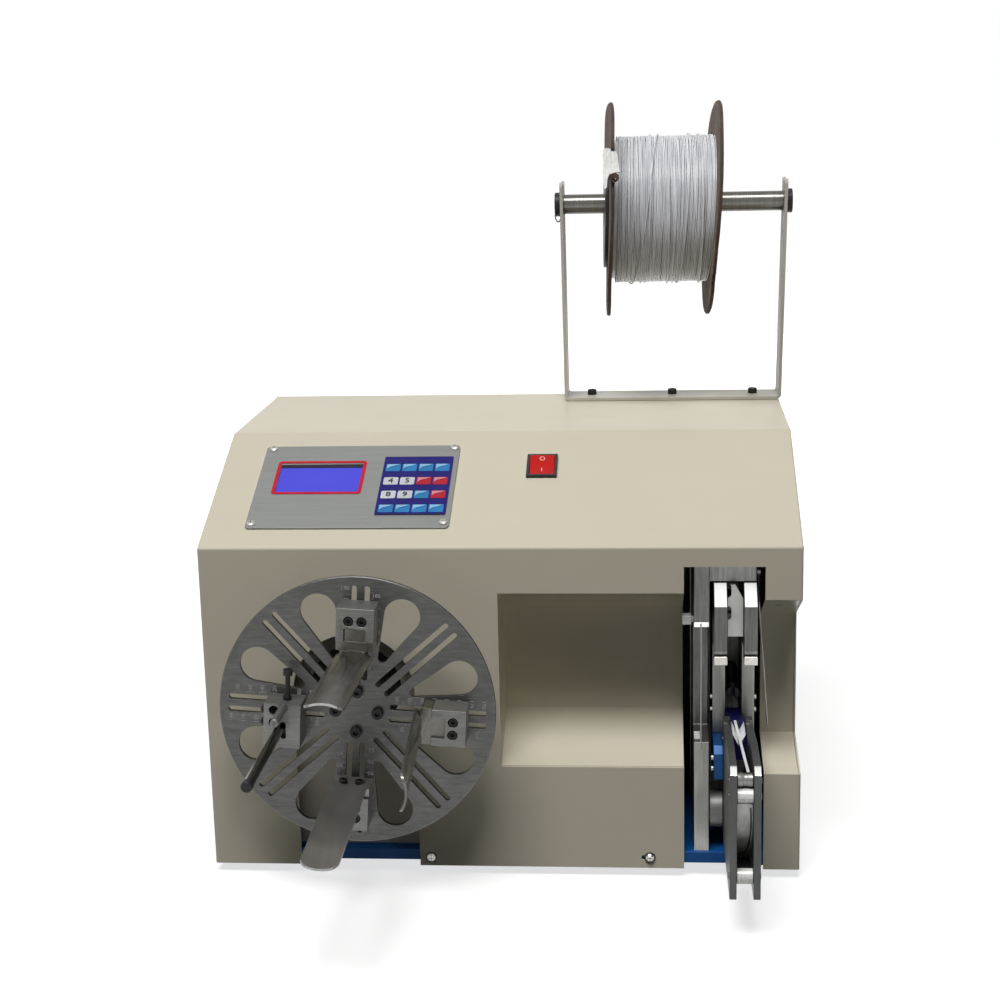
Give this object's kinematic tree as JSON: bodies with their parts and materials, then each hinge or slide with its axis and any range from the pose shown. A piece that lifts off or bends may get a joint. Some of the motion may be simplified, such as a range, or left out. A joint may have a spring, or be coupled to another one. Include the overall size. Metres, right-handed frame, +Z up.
{
  "type": "cable winding and tying machine",
  "caption": "Bench machine with a slotted winding disc and clamps at the left, a tie-wire reel on a bracket on top and a tying head with a swinging guide arm at the right.",
  "frame": {"origin": "centre of the base plate's flat underside, 12 mm above the floor under the rubber feet", "axes": "+X to the operator's right, +Y to the back, +Z up"},
  "size_m": [0.5032, 0.6334, 0.6293],
  "materials": {
    "cream_paint": "smooth cream paint, half gloss",
    "bracket_paint": "light paint, half gloss",
    "blue_paint": "blue paint, half gloss",
    "foot_rubber": "matt",
    "plate_steel": "brushed",
    "steel": "machined",
    "disc_steel": "ground, grey",
    "aluminium": "milled",
    "blue_anodised": "blue anodised",
    "arm_grey": "dark grey, half gloss",
    "motor_black": "black paint",
    "shaft_chrome": "polished",
    "screw_black": "black oxide",
    "black_plastic": "fine texture",
    "red_plastic": "translucent red, lit",
    "display": "lit blue display window",
    "keypad_film": "printed film",
    "board_green": "circuit board",
    "reel_cardboard": "pressed board",
    "tie_wire": "white coated wire"
  },
  "bodies": {
    "machine_frame": {"base_plate": "blue_paint", "rubber_foot_1": "foot_rubber", "rubber_foot_2": "foot_rubber", "rubber_foot_3": "foot_rubber", "rubber_foot_4": "foot_rubber", "housing_cover": "cream_paint", "recess_liner": "cream_paint", "side_recess_liner": "cream_paint", "rear_panel": "cream_paint", "power_inlet": "black_plastic", "control_plate": "plate_steel", "display_window": "display", "keypad": "keypad_film", "switch_bezel": "black_plastic", "control_board": "board_green", "gearmotor_bracket": "steel", "winding_gearmotor": "motor_black", "reel_bracket": "bracket_paint", "reel_shaft": "shaft_chrome", "shaft_collar_left": "black_plastic", "shaft_collar_right": "black_plastic", "jaw_left": "steel", "jaw_right": "steel", "guide_rail": "steel", "cross_block": "steel", "wire_plate": "aluminium", "head_frame": "steel", "throat_block": "aluminium", "coupler_block": "blue_anodised", "pivot_boss": "aluminium", "twist_motor": "motor_black"},
    "rocker": {"switch_rocker": "red_plastic"},
    "winder": {"winding_disc": "disc_steel", "winding_hub": "steel"},
    "clamp_top": {"clamp_block_top": "aluminium", "finger_top": "plate_steel"},
    "clamp_right": {"clamp_block_right": "aluminium", "finger_right": "plate_steel"},
    "clamp_bottom": {"clamp_block_bottom": "aluminium", "finger_bottom": "plate_steel"},
    "clamp_left": {"clamp_block_left": "aluminium", "clamp_rod": "steel", "clamp_pin": "aluminium", "clamp_screw": "screw_black"},
    "reel": {"reel_flange_left": "reel_cardboard", "reel_flange_right": "reel_cardboard", "reel_disc_left": "black_plastic", "reel_disc_right": "black_plastic", "reel_core": "reel_cardboard", "wound_wire": "tie_wire"},
    "twister": {"twist_spindle": "steel"},
    "feed_drive": {"feed_roller_drive": "steel"},
    "feed_idler": {"feed_roller_idler": "steel"},
    "trigger": {"trigger_whisker": "steel"},
    "guide_arm": {"arm_plate_left": "arm_grey", "arm_plate_right": "arm_grey", "guide_band": "steel", "nose_roller": "steel", "tie_strip": "tie_wire"}
  },
  "joints": [
    {"name": "winding_spin", "type": "hinge", "parent": "machine_frame", "child": "winder", "pos_m": [-0.1113, -0.2165, 0.1488], "axis": [0, 1, 0], "continuous": true},
    {"name": "clamp_top_slide", "type": "slide", "parent": "winder", "child": "clamp_top", "axis": [0.0698, 0, 0.9976], "range_m": [-0.028, 0.012]},
    {"name": "clamp_right_slide", "type": "slide", "parent": "winder", "child": "clamp_right", "axis": [0.9976, 0, -0.0698], "range_m": [-0.028, 0.012]},
    {"name": "clamp_bottom_slide", "type": "slide", "parent": "winder", "child": "clamp_bottom", "axis": [-0.0698, 0, -0.9976], "range_m": [-0.028, 0.012]},
    {"name": "clamp_left_slide", "type": "slide", "parent": "winder", "child": "clamp_left", "axis": [-0.9976, 0, 0.0698], "range_m": [-0.016, 0.03]},
    {"name": "reel_spin", "type": "hinge", "parent": "machine_frame", "child": "reel", "pos_m": [0.1345, 0.1495, 0.5179], "axis": [1, 0, 0], "continuous": true},
    {"name": "switch_rock", "type": "hinge", "parent": "machine_frame", "child": "rocker", "pos_m": [0.032, -0.06823, 0.31243], "axis": [1, 0, 0], "range_deg": [-18, 0]},
    {"name": "arm_swing", "type": "hinge", "parent": "machine_frame", "child": "guide_arm", "pos_m": [0.1954, -0.1395, 0.1005], "axis": [-1, 0, 0], "range_deg": [0, 48]},
    {"name": "twister_spin", "type": "hinge", "parent": "machine_frame", "child": "twister", "pos_m": [0.1928, -0.0815, 0.132], "axis": [0, 1, 0], "continuous": true},
    {"name": "feed_drive_spin", "type": "hinge", "parent": "machine_frame", "child": "feed_drive", "pos_m": [0.1928, -0.1035, 0.205], "axis": [1, 0, 0], "continuous": true},
    {"name": "feed_idler_spin", "type": "hinge", "parent": "machine_frame", "child": "feed_idler", "pos_m": [0.1928, -0.0868, 0.205], "axis": [1, 0, 0], "continuous": true},
    {"name": "trigger_swing", "type": "hinge", "parent": "machine_frame", "child": "trigger", "pos_m": [0.2127, -0.1485, 0.246], "axis": [1, 0, 0], "range_deg": [0, 12], "stiffness_Nm_per_rad": 0.01}
  ],
  "couplings": [
    {"joint": "feed_idler_spin", "follows": "feed_drive_spin", "ratio": -1}
  ]
}
